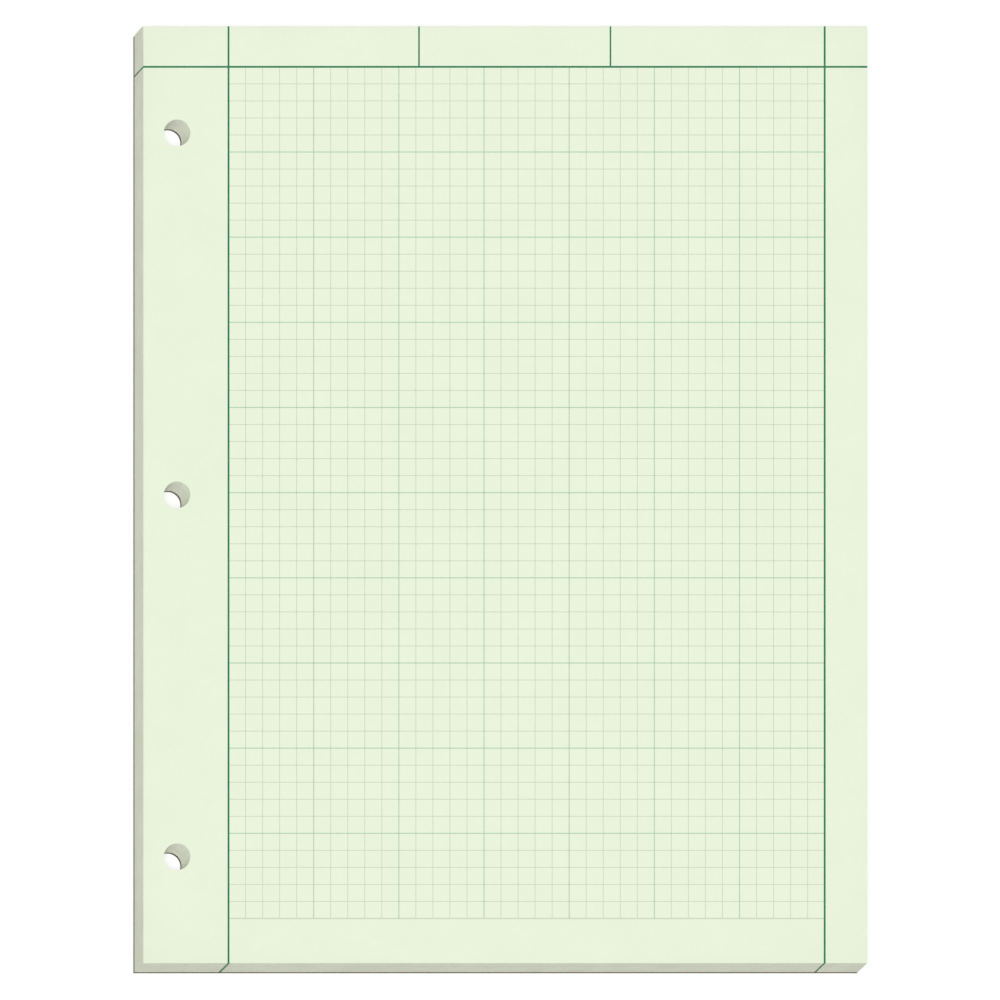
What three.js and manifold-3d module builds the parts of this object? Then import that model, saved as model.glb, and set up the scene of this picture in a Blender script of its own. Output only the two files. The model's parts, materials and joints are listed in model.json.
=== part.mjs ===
import * as THREE from "three";
import { mergeVertices } from "three/addons/utils/BufferGeometryUtils.js";
import Module from "manifold-3d";

// A punched computation pad: a hundred ruled letter-size sheets, gummed along their top edge to a chipboard back.
// Millimetres. +X runs to the right across the ruled face, +Y towards the gummed edge, +Z out of the ruled face.
// The origin is the centre of the box's lowest face, so the pad lies on its board.

const wasm = await Module();
wasm.setup();

// Sheets
const SHEET_WIDTH = 215.9;
const SHEET_LENGTH = 279.4;
const SHEET_COUNT = 100;
// one leaf and the air under it
const SHEET_PITCH = 0.085;
const LEAF_THICKNESS = 0.062;
// how far a leaf may lie back from the trimmed edges, and how deep the gap between two leaves shows there
const LEAF_JOG = 0.04;
const LEAF_GAP_DEPTH = 0.15;
// the same gap at the gummed edge, where the compound has run in
const GUMMED_GAP_DEPTH = 0.03;

// Backing board
const BOARD_THICKNESS = 1;

// Gummed edge: the film is thickest at mid-height and thins towards the two faces of the pad
const GUM_THICKNESS = 0.38;
const GUM_LIP = 0.1;
const GUM_CURVE_STEPS = 10;

// Binder holes, drilled through sheets and board together
const HOLE_DIAMETER = 7.94;
const HOLE_COUNT = 3;
const HOLE_SPACING = 107.95;
const HOLE_TO_LEFT_EDGE = 10.05;
const HOLE_FACETS = 40;

// Margin, header and divider rules
const LEFT_MARGIN = 25.4;
const RIGHT_MARGIN = 12.7;
const HEADER_DEPTH = 12.14;
const FIRST_HEADER_CELL = 56.85;
const SECOND_HEADER_CELL = 57.1;
const RULE_WIDTH = 0.4;
const DIVIDER_WIDTH = 0.33;
// the cut ends of the rules, one under another down the trimmed edges
const EDGE_MARK_WIDTH = 0.4;
const EDGE_MARK_THICKNESS = 0.03;

// Grid, five squares to the inch
const SQUARE = 5.08;
const SQUARES_PER_INCH = 5;
const LEAST_FOOT_MARGIN = 13.2;
const INCH_LINE_WIDTH = 0.28;
const FINE_LINE_WIDTH = 0.22;

// Ink film: fine rows, fine columns and inch lines cross each other one layer above the next, counted up from the
// paper, and the dark rules are as thick as all of them
const INK_LAYER = 0.03;
const FINE_ROW_LAYER = 0;
const FINE_COLUMN_LAYER = 1;
const INCH_LINE_LAYER = 2;
const INK_LAYERS = 3;

// two cuts nearer than this are one
const SAME_PLACE = 1e-6;

// Places that follow from the sizes
const BLOCK_THICKNESS = (SHEET_COUNT - 1) * SHEET_PITCH + LEAF_THICKNESS;
const FACE_HEIGHT = BOARD_THICKNESS + BLOCK_THICKNESS;
const SHEET_CENTRE_Y = (EDGE_MARK_THICKNESS - GUM_THICKNESS) / 2;
const LEFT_EDGE = -SHEET_WIDTH / 2;
const RIGHT_EDGE = SHEET_WIDTH / 2;
const GUMMED_EDGE = SHEET_CENTRE_Y + SHEET_LENGTH / 2;
const BOTTOM_EDGE = SHEET_CENTRE_Y - SHEET_LENGTH / 2;
const LEFT_RULE_X = LEFT_EDGE + LEFT_MARGIN;
const RIGHT_RULE_X = RIGHT_EDGE - RIGHT_MARGIN;
const HEADER_RULE_Y = GUMMED_EDGE - HEADER_DEPTH;
const SQUARES_DOWN = Math.floor((SHEET_LENGTH - HEADER_DEPTH - LEAST_FOOT_MARGIN) / SQUARE);
const SQUARES_ACROSS = Math.round((RIGHT_RULE_X - LEFT_RULE_X) / SQUARE);
const GRID_BOTTOM_Y = HEADER_RULE_Y - SQUARES_DOWN * SQUARE;
const GRID_LEFT = LEFT_RULE_X + RULE_WIDTH / 2;
const GRID_RIGHT = RIGHT_RULE_X - RULE_WIDTH / 2;
const GRID_TOP = HEADER_RULE_Y - RULE_WIDTH / 2;
// the fine column that every fine row crosses, the one nearest the middle that is no inch line
const SPINE_COLUMN = nearestFineColumn(Math.floor(SQUARES_ACROSS / 2));

// Materials
const paper = new THREE.MeshStandardMaterial({ color: "#eaf4dc", roughness: 0.9, metalness: 0 });
const chipboard = new THREE.MeshStandardMaterial({ color: "#8d7a5c", roughness: 0.95, metalness: 0 });
const paddingCompound = new THREE.MeshStandardMaterial({ color: "#e6e9dc", roughness: 0.45, metalness: 0 });
const darkGreenInk = new THREE.MeshStandardMaterial({ color: "#0a6a4a", roughness: 0.7, metalness: 0 });
const midGreenInk = new THREE.MeshStandardMaterial({ color: "#aeccb1", roughness: 0.8, metalness: 0 });
const paleGreenInk = new THREE.MeshStandardMaterial({ color: "#c7d4bb", roughness: 0.8, metalness: 0 });

// A closed shape as a solid that can be drilled
function solidFrom(geometry) {
  const bare = geometry.clone();
  bare.deleteAttribute("normal");
  bare.deleteAttribute("uv");
  const merged = mergeVertices(bare);
  const vertProperties = new Float32Array(merged.attributes.position.array);
  const triVerts = new Uint32Array(merged.index.array);
  return new wasm.Manifold(new wasm.Mesh({ numProp: 3, vertProperties, triVerts }));
}

function geometryFrom(solid) {
  const mesh = solid.getMesh();
  const geometry = new THREE.BufferGeometry();
  geometry.setAttribute("position", new THREE.BufferAttribute(mesh.vertProperties, 3));
  geometry.setIndex(new THREE.BufferAttribute(mesh.triVerts, 1));
  geometry.computeVertexNormals();
  return geometry;
}

// The binder holes, down the left margin and centred on the sheet's length
function drilled(geometry, top) {
  let solid = solidFrom(geometry);
  const radius = HOLE_DIAMETER / 2;
  for (let hole = 0; hole < HOLE_COUNT; hole += 1) {
    // the drill runs its own radius past both faces
    const drill = new THREE.CylinderGeometry(radius, radius, top + 2 * radius, HOLE_FACETS);
    drill.rotateX(Math.PI / 2);
    const y = SHEET_CENTRE_Y + (hole - (HOLE_COUNT - 1) / 2) * HOLE_SPACING;
    drill.translate(LEFT_EDGE + HOLE_TO_LEFT_EDGE, y, top / 2);
    solid = solid.subtract(solidFrom(drill));
  }
  return geometryFrom(solid);
}

// A skin through level rectangles, one above another, closed over the first and the last
function loftThrough(rings) {
  const positions = rings.flatMap(({ x0, x1, y0, y1, z }) => [x0, y0, z, x1, y0, z, x1, y1, z, x0, y1, z]);
  const lowest = [0, 2, 1, 0, 3, 2];
  const highest = [0, 1, 2, 0, 2, 3].map((corner) => corner + 4 * (rings.length - 1));
  const faces = [...lowest, ...highest];
  for (let ring = 1; ring < rings.length; ring += 1) {
    for (let side = 0; side < 4; side += 1) {
      const below = 4 * (ring - 1) + side;
      const nextBelow = 4 * (ring - 1) + ((side + 1) % 4);
      faces.push(below, nextBelow, nextBelow + 4, below, nextBelow + 4, below + 4);
    }
  }
  const skin = new THREE.BufferGeometry();
  skin.setAttribute("position", new THREE.Float32BufferAttribute(positions, 3));
  skin.setIndex(faces);
  skin.computeVertexNormals();
  return skin;
}

// How far one edge of a leaf lies back from the trimmed face, different for every leaf and edge
function leafJog(leaf, edge) {
  const goldenAngle = Math.PI * (3 - Math.sqrt(5));
  return LEAF_JOG * (0.5 + 0.5 * Math.sin(leaf * goldenAngle * (edge + 1) + edge));
}

// The sheets as one block: every leaf is a thin plate, flush at the gummed edge and a little uneven at the other
// three, and between two leaves the block steps in to a narrow gap
function sheetBlock() {
  const inset = LEAF_JOG + LEAF_GAP_DEPTH;
  const gap = {
    x0: LEFT_EDGE + inset,
    x1: RIGHT_EDGE - inset,
    y0: BOTTOM_EDGE + inset,
    y1: GUMMED_EDGE - GUMMED_GAP_DEPTH,
  };
  const rings = [];
  for (let leaf = 0; leaf < SHEET_COUNT; leaf += 1) {
    const underside = BOARD_THICKNESS + leaf * SHEET_PITCH;
    const plate = {
      x0: LEFT_EDGE + leafJog(leaf, 0),
      x1: RIGHT_EDGE - leafJog(leaf, 1),
      y0: BOTTOM_EDGE + leafJog(leaf, 2),
      y1: GUMMED_EDGE,
    };
    if (leaf > 0) {
      rings.push({ ...gap, z: underside });
    }
    rings.push({ ...plate, z: underside });
    rings.push({ ...plate, z: underside + LEAF_THICKNESS });
    if (leaf < SHEET_COUNT - 1) {
      rings.push({ ...gap, z: underside + LEAF_THICKNESS });
    }
  }
  return drilled(loftThrough(rings), FACE_HEIGHT);
}

function backingBoard() {
  const outline = { x0: LEFT_EDGE, x1: RIGHT_EDGE, y0: BOTTOM_EDGE, y1: GUMMED_EDGE };
  const board = loftThrough([
    { ...outline, z: 0 },
    { ...outline, z: BOARD_THICKNESS },
  ]);
  return drilled(board, BOARD_THICKNESS);
}

// The dried film of padding compound: a shallow bow in section, run along the whole gummed edge
function paddingGlue() {
  const section = new THREE.Shape();
  section.moveTo(0, 0);
  section.lineTo(GUM_LIP, 0);
  // the curve comes half-way out to its control point, which brings it to the film's full thickness
  section.quadraticCurveTo(2 * GUM_THICKNESS - GUM_LIP, FACE_HEIGHT / 2, GUM_LIP, FACE_HEIGHT);
  section.lineTo(0, FACE_HEIGHT);
  section.closePath();
  const film = new THREE.ExtrudeGeometry(section, {
    depth: SHEET_WIDTH,
    bevelEnabled: false,
    curveSegments: GUM_CURVE_STEPS,
  });
  // the section's x becomes Y, its y becomes Z and the run becomes X
  const axes = new THREE.Matrix4().makeBasis(
    new THREE.Vector3(0, 1, 0),
    new THREE.Vector3(0, 0, 1),
    new THREE.Vector3(1, 0, 0),
  );
  film.applyMatrix4(axes);
  film.translate(LEFT_EDGE, GUMMED_EDGE, 0);
  return film;
}

function strip(x0, x1, y0, y1, z0, z1) {
  return new THREE.Box3(new THREE.Vector3(x0, y0, z0), new THREE.Vector3(x1, y1, z1));
}

// Where the strips begin and end along one axis, in order and each once
function cutsAlong(axis, strips) {
  const ends = strips.flatMap((each) => [each.min.getComponent(axis), each.max.getComponent(axis)]);
  ends.sort((a, b) => a - b);
  return ends.filter((end, index) => index === 0 || end - ends[index - 1] > SAME_PLACE);
}

// Strips that cross or meet, as one closed skin. Space is divided wherever a strip begins or ends, and the skin
// has a face wherever a filled cell meets an empty one.
function filmOf(strips) {
  const cuts = [0, 1, 2].map((axis) => cutsAlong(axis, strips));
  const isFilled = (cell) => {
    if (cell.some((index, axis) => index < 0 || index > cuts[axis].length - 2)) {
      return false;
    }
    const middle = cell.map((index, axis) => (cuts[axis][index] + cuts[axis][index + 1]) / 2);
    return strips.some((each) => each.containsPoint(new THREE.Vector3(...middle)));
  };
  const positions = [];
  const addFace = (cell, axis, step) => {
    const across = (axis + 1) % 3;
    const along = (axis + 2) % 3;
    const turn = [
      [0, 0],
      [1, 0],
      [1, 1],
      [0, 1],
    ];
    const corners = turn.map(([a, b]) => {
      const index = [...cell];
      index[axis] += step > 0 ? 1 : 0;
      index[across] += a;
      index[along] += b;
      return index.map((at, each) => cuts[each][at]);
    });
    const order = step > 0 ? [0, 1, 2, 0, 2, 3] : [0, 2, 1, 0, 3, 2];
    positions.push(...order.flatMap((corner) => corners[corner]));
  };
  for (let i = 0; i < cuts[0].length - 1; i += 1) {
    for (let j = 0; j < cuts[1].length - 1; j += 1) {
      for (let k = 0; k < cuts[2].length - 1; k += 1) {
        const cell = [i, j, k];
        if (!isFilled(cell)) {
          continue;
        }
        for (const axis of [0, 1, 2]) {
          for (const step of [-1, 1]) {
            const neighbour = cell.map((index, each) => index + (each === axis ? step : 0));
            if (!isFilled(neighbour)) {
              addFace(cell, axis, step);
            }
          }
        }
      }
    }
  }
  const skin = new THREE.BufferGeometry();
  skin.setAttribute("position", new THREE.Float32BufferAttribute(positions, 3));
  skin.computeVertexNormals();
  return mergeVertices(skin);
}

// Strips of ink on the face, from the lower layer up to the upper one
function columnStrip(x, width, y0, y1, lower, upper = lower) {
  const z0 = FACE_HEIGHT + lower * INK_LAYER;
  const z1 = FACE_HEIGHT + (upper + 1) * INK_LAYER;
  return strip(x - width / 2, x + width / 2, y0, y1, z0, z1);
}

function rowStrip(y, width, x0, x1, lower, upper = lower) {
  const z0 = FACE_HEIGHT + lower * INK_LAYER;
  const z1 = FACE_HEIGHT + (upper + 1) * INK_LAYER;
  return strip(x0, x1, y - width / 2, y + width / 2, z0, z1);
}

// The dark rules bleed off the sheet, so their cut ends draw a line down the edges of the stack
function marginRules() {
  const top = INK_LAYERS - 1;
  const inkTop = FACE_HEIGHT + INK_LAYERS * INK_LAYER;
  const half = EDGE_MARK_WIDTH / 2;
  const markLeft = LEFT_EDGE - EDGE_MARK_THICKNESS;
  const markRight = RIGHT_EDGE + EDGE_MARK_THICKNESS;
  const markBottom = BOTTOM_EDGE - EDGE_MARK_THICKNESS;
  const strips = [
    rowStrip(HEADER_RULE_Y, RULE_WIDTH, markLeft, markRight, 0, top),
    strip(markLeft, LEFT_EDGE, HEADER_RULE_Y - half, HEADER_RULE_Y + half, BOARD_THICKNESS, inkTop),
    strip(RIGHT_EDGE, markRight, HEADER_RULE_Y - half, HEADER_RULE_Y + half, BOARD_THICKNESS, inkTop),
  ];
  for (const x of [LEFT_RULE_X, RIGHT_RULE_X]) {
    strips.push(columnStrip(x, RULE_WIDTH, markBottom, GUMMED_EDGE, 0, top));
    strips.push(strip(x - half, x + half, markBottom, BOTTOM_EDGE, BOARD_THICKNESS, inkTop));
  }
  for (const cells of [FIRST_HEADER_CELL, FIRST_HEADER_CELL + SECOND_HEADER_CELL]) {
    strips.push(columnStrip(LEFT_RULE_X + cells, DIVIDER_WIDTH, HEADER_RULE_Y, GUMMED_EDGE, 0, top));
  }
  return filmOf(strips);
}

function isInchLine(index) {
  return index % SQUARES_PER_INCH === 0;
}

function nearestFineColumn(index) {
  return isInchLine(index) ? index + 1 : index;
}

function columnX(index) {
  return LEFT_RULE_X + index * SQUARE;
}

function rowY(index) {
  return HEADER_RULE_Y - index * SQUARE;
}

// The lines inside a run of squares that are inch lines, or those that aren't
function lineNumbers(squares, wantInchLines) {
  const numbers = [];
  for (let index = 1; index < squares; index += 1) {
    if (isInchLine(index) === wantInchLines) {
      numbers.push(index);
    }
  }
  return numbers;
}

// Lowest layer: the fine rows, which the middle fine column crosses
function fineGridRows() {
  const rows = lineNumbers(SQUARES_DOWN, false);
  return filmOf([
    columnStrip(columnX(SPINE_COLUMN), FINE_LINE_WIDTH, GRID_BOTTOM_Y, GRID_TOP, FINE_ROW_LAYER),
    ...rows.map((row) => rowStrip(rowY(row), FINE_LINE_WIDTH, GRID_LEFT, GRID_RIGHT, FINE_ROW_LAYER)),
  ]);
}

// Middle layer: the other fine columns, which stand on the line that closes the grid
function fineGridColumns() {
  const layer = FINE_COLUMN_LAYER;
  const columns = lineNumbers(SQUARES_ACROSS, false).filter((column) => column !== SPINE_COLUMN);
  return filmOf([
    rowStrip(GRID_BOTTOM_Y, INCH_LINE_WIDTH, GRID_LEFT, GRID_RIGHT, layer),
    ...columns.map((column) => columnStrip(columnX(column), FINE_LINE_WIDTH, GRID_BOTTOM_Y, GRID_TOP, layer)),
  ]);
}

// Highest layer: the inch lines, heavier, both ways
function inchGrid() {
  const layer = INCH_LINE_LAYER;
  const columns = lineNumbers(SQUARES_ACROSS, true);
  const rows = lineNumbers(SQUARES_DOWN, true);
  return filmOf([
    ...columns.map((column) => columnStrip(columnX(column), INCH_LINE_WIDTH, GRID_BOTTOM_Y, GRID_TOP, layer)),
    ...rows.map((row) => rowStrip(rowY(row), INCH_LINE_WIDTH, GRID_LEFT, GRID_RIGHT, layer)),
  ]);
}

function piece(name, geometry, material) {
  const mesh = new THREE.Mesh(geometry, material);
  mesh.name = name;
  return mesh;
}

const pad = new THREE.Group();
pad.add(
  piece("backing_board", backingBoard(), chipboard),
  piece("sheet_block", sheetBlock(), paper),
  piece("padding_glue", paddingGlue(), paddingCompound),
  piece("fine_grid_rows", fineGridRows(), paleGreenInk),
  piece("fine_grid_columns", fineGridColumns(), paleGreenInk),
  piece("inch_grid", inchGrid(), midGreenInk),
  piece("margin_rules", marginRules(), darkGreenInk),
);

export default pad;
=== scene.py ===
"""Looks for a punched engineering computation pad: its leaves, print, board and padding compound.

Each piece has an operator of its own, and one more lays out the studio. Run as a script, it makes
them all. Lengths are metres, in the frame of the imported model: +X runs across the ruled face, +Y
towards the gummed edge and +Z out of the face.
"""

import json
import math

import bpy
from bpy.props import FloatProperty, FloatVectorProperty, IntProperty, PointerProperty
from mathutils import Matrix, Vector, noise
from mathutils.geometry import delaunay_2d_cdt


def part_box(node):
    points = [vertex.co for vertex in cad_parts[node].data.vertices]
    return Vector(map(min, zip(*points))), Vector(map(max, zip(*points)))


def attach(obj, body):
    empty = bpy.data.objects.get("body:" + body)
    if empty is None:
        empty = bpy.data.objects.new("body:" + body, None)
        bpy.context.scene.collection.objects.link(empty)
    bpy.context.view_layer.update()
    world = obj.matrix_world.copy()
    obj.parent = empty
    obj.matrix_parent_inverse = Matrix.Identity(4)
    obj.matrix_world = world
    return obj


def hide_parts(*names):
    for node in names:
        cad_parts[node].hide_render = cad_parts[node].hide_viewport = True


bl_info = {
    "name": "Engineering computation pad",
    "version": (1, 0, 0),
    "blender": (4, 5, 0),
    "location": "3D View > Sidebar > Pad",
    "description": "Builds the leaves, print, board and padding compound of a ruled pad",
    "category": "Object",
}

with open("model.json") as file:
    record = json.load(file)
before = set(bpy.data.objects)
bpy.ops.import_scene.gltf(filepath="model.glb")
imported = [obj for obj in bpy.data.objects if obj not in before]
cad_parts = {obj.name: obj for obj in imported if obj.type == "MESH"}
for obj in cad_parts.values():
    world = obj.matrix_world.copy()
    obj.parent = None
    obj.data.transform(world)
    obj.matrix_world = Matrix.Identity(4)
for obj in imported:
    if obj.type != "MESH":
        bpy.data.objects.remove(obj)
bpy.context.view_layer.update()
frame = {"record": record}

# Places given by the frame
BOARD_LOW, BOARD_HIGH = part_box("backing_board")
FACE_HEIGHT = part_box("sheet_block")[1].z
FILM_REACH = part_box("padding_glue")[1].y
LEFT_EDGE = BOARD_LOW.x
RIGHT_EDGE = BOARD_HIGH.x
BOTTOM_EDGE = BOARD_LOW.y
GUMMED_EDGE = BOARD_HIGH.y
BOARD_TOP = BOARD_HIGH.z
SHEET_WIDTH = RIGHT_EDGE - LEFT_EDGE
SHEET_LENGTH = GUMMED_EDGE - BOTTOM_EDGE
HOLE_CENTRES = [
    (Vector(opening["box_m"][0]) + Vector(opening["box_m"][1])).to_2d() / 2
    for opening in frame["record"]["physics"]["openings"]
]
BODY = "root"

# The picture, and where the ruled face stands in it
PICTURE_PIXELS = 1000
FACE_LEFT_PIXEL = 143.33
FACE_TOP_PIXEL = 26.4
FACE_WIDTH_PIXELS = 723.9

# Sides of the polygons that stand for a hole, inside the stack and in the plates that show it
LEAF_HOLE_SIDES = 48
SHOWN_HOLE_SIDES = 96

# How far apart the points inside a plate lie, and how near two points are one
TOP_SHEET_SPACING = 0.012
BOARD_SPACING = 0.006
MERGE_DISTANCE = 1e-9

# Coats of ink over the paper. Every line has one more under its surface
FINE_COATS = 1
INCH_COATS = 3
RULE_COATS = 4

# Cut ends of the rules: the coats that they stand out of an edge and go into it, and the share of
# the room between two leaves that they fill
END_PROUD_COATS = 1.5
END_ROOT_COATS = 10
END_SHARE = 0.95

# Least share of the paper that the inks cover
RULE_COVER = 0.96
GRID_COVER = 0.8

# Raggedness of the board: the distance between points on its edges, its depth, and how many waves
# it has to the metre on the edges and in the holes
RAGGED_STEP = 0.0015
RAGGED_DEPTH = 0.00003
EDGE_WAVES = 900
HOLE_WAVES = 1500

# Film of padding compound: its steps along the edge and up it, the share of its thickness left at
# its rims, the most that its upper rim falls short of the ruled face, the lower rim's share of
# that, the share of the thickness that the brush takes away, and the angle that stays a crease
FILM_RUNS = 320
FILM_RISE = 22
FILM_LIP = 0.25
FILM_SHORTFALL = 0.00024
UNDERSIDE_SHORTFALL = 0.4
FILM_RELIEF = 0.28
FILM_CREASE = math.radians(50)

# Waves to the metre of the film's rim, and of its streaks and pools along the edge and up it
RIM_WAVES = 160
STREAK_WAVES = (45, 1500)
POOL_WAVES = (210, 400)

# How far in from the outline rubbing reaches and how much it shows on faces, and the share of
# painted shade on the trimmed edges
RUBBED_REACH = 0.012
RUBBED_FACE = 0.03
EDGE_SHADE_SHARE = 0.6

# Specular level of what is unsized and rough
DULL = 0.12

# What most values of a noise texture lie between
NOISE_LOW = 0.3
NOISE_HIGH = 0.7

# The floor: just under the board, so that no two faces share a plane, with its grey as it lights
# the pad, and its grey and glow as the camera sees it
FLOOR_GAP = 0.00002
FLOOR_GREY = (0.65, 0.65, 0.65, 1)
SHOWN_GREY = (0.34, 0.34, 0.34, 1)
SHOWN_GLOW = 0.7
WHITE = (1, 1, 1, 1)


def linear(code):
    """A display colour, such as eaf4dc, as the linear red, green and blue that a material holds."""
    levels = [int(code[place : place + 2], 16) / 255 for place in (0, 2, 4)]
    return tuple(((x + 0.055) / 1.055) ** 2.4 if x > 0.04045 else x / 12.92 for x in levels)


def length(name, default, description):
    return FloatProperty(
        name=name,
        description=description,
        default=default,
        min=0,
        precision=6,
        subtype="DISTANCE",
        unit="LENGTH",
    )


def colour(name, code, description):
    return FloatVectorProperty(
        name=name,
        description=description,
        default=linear(code),
        size=3,
        min=0,
        max=1,
        subtype="COLOR",
    )


class PadSizes(bpy.types.PropertyGroup):
    """Sizes of the sheets, the holes and the print."""

    leaf_count: IntProperty(
        name="Leaves", description="Number of sheets in the pad", default=100, min=2
    )
    leaf_thickness: length("Leaf thickness", 0.000079, "Thickness of one sheet of paper")
    leaf_slip: length("Leaf slip", 0.000016, "How far a sheet may lie back from the trimmed edges")
    hole_diameter: length("Hole diameter", 0.00794, "Width of each binder hole")
    left_margin: length("Left margin", 0.0254, "Left edge to the left margin rule")
    right_margin: length("Right margin", 0.0127, "Right edge to the right margin rule")
    header_depth: length("Header depth", 0.01207, "Top edge to the header rule")
    first_cell: length("First header cell", 0.05681, "Left margin rule to the first divider")
    second_cell: length("Second header cell", 0.0571, "First divider to the second")
    foot_margin: length("Least foot margin", 0.0132, "Least blank strip under the grid")
    square: length("Square", 0.00508, "Side of one square of the grid")
    squares_per_inch: IntProperty(
        name="Squares per inch", description="Every so many lines one is heavier", default=5
    )
    rule_width: length("Rule width", 0.00052, "Width of the margin and header rules")
    rule_end_width: length("Rule end width", 0.00047, "Width of a rule's cut end on an edge")
    divider_width: length("Divider width", 0.00044, "Width of the header dividers")
    inch_line_width: length("Inch line width", 0.00028, "Width of the heavier grid lines")
    fine_line_width: length("Fine line width", 0.00022, "Width of the fine grid lines")
    foot_line_width: length("Foot line width", 0.00038, "Width of the line at the grid's foot")
    ink_step: length("Ink step", 0.000012, "Height of one coat of ink; heavier lines have more")


class PadFinishes(bpy.types.PropertyGroup):
    """Colours of the paper, the inks, the board and the padding compound."""

    paper: colour("Paper", "eaf4dc", "Face of a sheet")
    # painted light: the cut edges are lighter than the face, so that the walls of the holes stay
    # bright in their shade
    lit_paper_edge: colour("Lit paper edge", "f6f8ec", "Cut edge of a clean sheet, as in the holes")
    # painted shade that the trimmed edges are darkened towards
    trimmed_edge_shade: colour("Trimmed edge shade", "c2c4ad", "What hands leave on the trimmed edges")
    rule_ink: colour("Rule ink", "007651", "Margin, header and divider rules")
    inch_ink: colour("Inch line ink", "adceb1", "Heavier grid lines, as the sheet shows them")
    fine_ink: colour("Fine line ink", "cbd6be", "Fine grid lines, as the sheet shows them")
    board: colour("Board", "8d7860", "Chipboard back")
    board_fleck: colour("Board fleck", "6f5b42", "Darker fibres in the chipboard")
    compound: colour("Padding compound", "e6ecda", "Dried film along the gummed edge")


class PadStudio(bpy.types.PropertyGroup):
    """Camera and light."""

    lens: FloatProperty(
        name="Lens",
        description="Focal length, long so that the view is nearly parallel",
        default=1400,
    )
    slant: FloatVectorProperty(
        name="Slant",
        description="How far the view leans left and down for each unit of height",
        size=2,
        default=(0.325, 0.331),
    )
    sky_strength: FloatProperty(
        name="Sky", description="Strength of the light from all round", default=0.4
    )
    lamp_strength: FloatProperty(
        name="Lamp", description="Strength of the main lamp", default=2.08
    )
    lamp_softness: FloatProperty(
        name="Softness",
        description="Angle that the main lamp fills",
        default=0.3,
        subtype="ANGLE",
        unit="ROTATION",
    )
    floor_half: length("Floor", 4.0, "Half the side of the floor")


# Building node trees


def add(tree, kind, inputs=None, **settings):
    """A new node with its settings, and its inputs linked to a socket or set to a value."""
    made = tree.nodes.new(kind)
    for key, value in settings.items():
        setattr(made, key, value)
    for key, value in (inputs or {}).items():
        if isinstance(value, bpy.types.NodeSocket):
            tree.links.new(value, made.inputs[key])
        else:
            made.inputs[key].default_value = value
    return made


def math_node(tree, operation, first, second=0.0, clamp=False):
    """The result of one operation on sockets or numbers."""
    made = add(tree, "ShaderNodeMath", {0: first, 1: second}, operation=operation, use_clamp=clamp)
    return made.outputs[0]


def mixed(tree, factor, first, second, blend="MIX"):
    """first turned into second by factor, as a colour socket."""
    inputs = {0: factor}
    # a Mix node's colours are its inputs 6 and 7 and its output 2
    for key, value in ((6, first), (7, second)):
        inputs[key] = value if isinstance(value, bpy.types.NodeSocket) else (*value, 1)
    return add(tree, "ShaderNodeMix", inputs, data_type="RGBA", blend_type=blend).outputs[2]


def scaled(tree, base, level):
    """A colour made lighter or darker by a level."""
    return mixed(tree, 1.0, base, level, "MULTIPLY")


def ranged(tree, value, from_low, from_high, to_low=0.0, to_high=1.0):
    """What a value between the first two numbers is between the last two."""
    inputs = {
        "Value": value,
        "From Min": from_low,
        "From Max": from_high,
        "To Min": to_low,
        "To Max": to_high,
    }
    return add(tree, "ShaderNodeMapRange", inputs).outputs["Result"]


def spread(tree, value, low, high):
    """A noise spread over all that lies between two values."""
    return ranged(tree, value, NOISE_LOW, NOISE_HIGH, low, high)


def noisy(tree, place, scale, detail, roughness=0.5, stretch=None):
    """Noise of so many waves to the metre. stretch is the share of them left along each axis."""
    if stretch:
        laid = add(tree, "ShaderNodeMapping", {"Vector": place, "Scale": stretch})
        place = laid.outputs["Vector"]
    inputs = {"Vector": place, "Scale": scale, "Detail": detail, "Roughness": roughness}
    return add(tree, "ShaderNodeTexNoise", inputs).outputs["Fac"]


def parts_of(tree, vector):
    """The X, Y and Z of a vector."""
    return add(tree, "ShaderNodeSeparateXYZ", {"Vector": vector}).outputs


def new_group(name, kind, inputs, outputs):
    """An empty node group with its sockets, and those of its two end nodes. inputs are (name, kind
    of value, default) and outputs (name, kind of value)."""
    tree = bpy.data.node_groups.new(name, kind)
    for title, value_kind, default in inputs:
        socket = tree.interface.new_socket(
            title, in_out="INPUT", socket_type="NodeSocket" + value_kind
        )
        if default is not None:
            socket.default_value = default
    for title, value_kind in outputs:
        tree.interface.new_socket(title, in_out="OUTPUT", socket_type="NodeSocket" + value_kind)
    given = tree.nodes.new("NodeGroupInput").outputs
    result = tree.nodes.new("NodeGroupOutput").inputs
    return tree, given, result


def use_group(tree, name, inputs):
    """The outputs of a shared effect, placed with these inputs."""
    return add(tree, "ShaderNodeGroup", inputs, node_tree=bpy.data.node_groups[name]).outputs


# Effects that several materials share


def fibre_group():
    """Felted fibres: short hairs lying three ways, and soft clouds of denser pulp."""
    tree, given, result = new_group(
        "felted_fibre",
        "ShaderNodeTree",
        [
            ("Vector", "Vector", None),
            ("Fibres per metre", "Float", 1500.0),
            ("Clouds per metre", "Float", 90.0),
        ],
        [("Fibre", "Float"), ("Cloud", "Float")],
    )
    hairs = []
    for turn in (0.3, 1.3, 2.4):
        laid = add(
            tree,
            "ShaderNodeMapping",
            {"Vector": given["Vector"], "Rotation": (0, 0, turn), "Scale": (1.0, 5.0, 1.0)},
            vector_type="TEXTURE",
        )
        hairs.append(noisy(tree, laid.outputs["Vector"], given["Fibres per metre"], 1.0))
    two_ways = math_node(tree, "ADD", hairs[0], hairs[1])
    all_ways = math_node(tree, "ADD", two_ways, hairs[2])
    cloud = noisy(tree, given["Vector"], given["Clouds per metre"], 2.0)
    tree.links.new(math_node(tree, "DIVIDE", all_ways, float(len(hairs))), result["Fibre"])
    tree.links.new(cloud, result["Cloud"])


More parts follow.
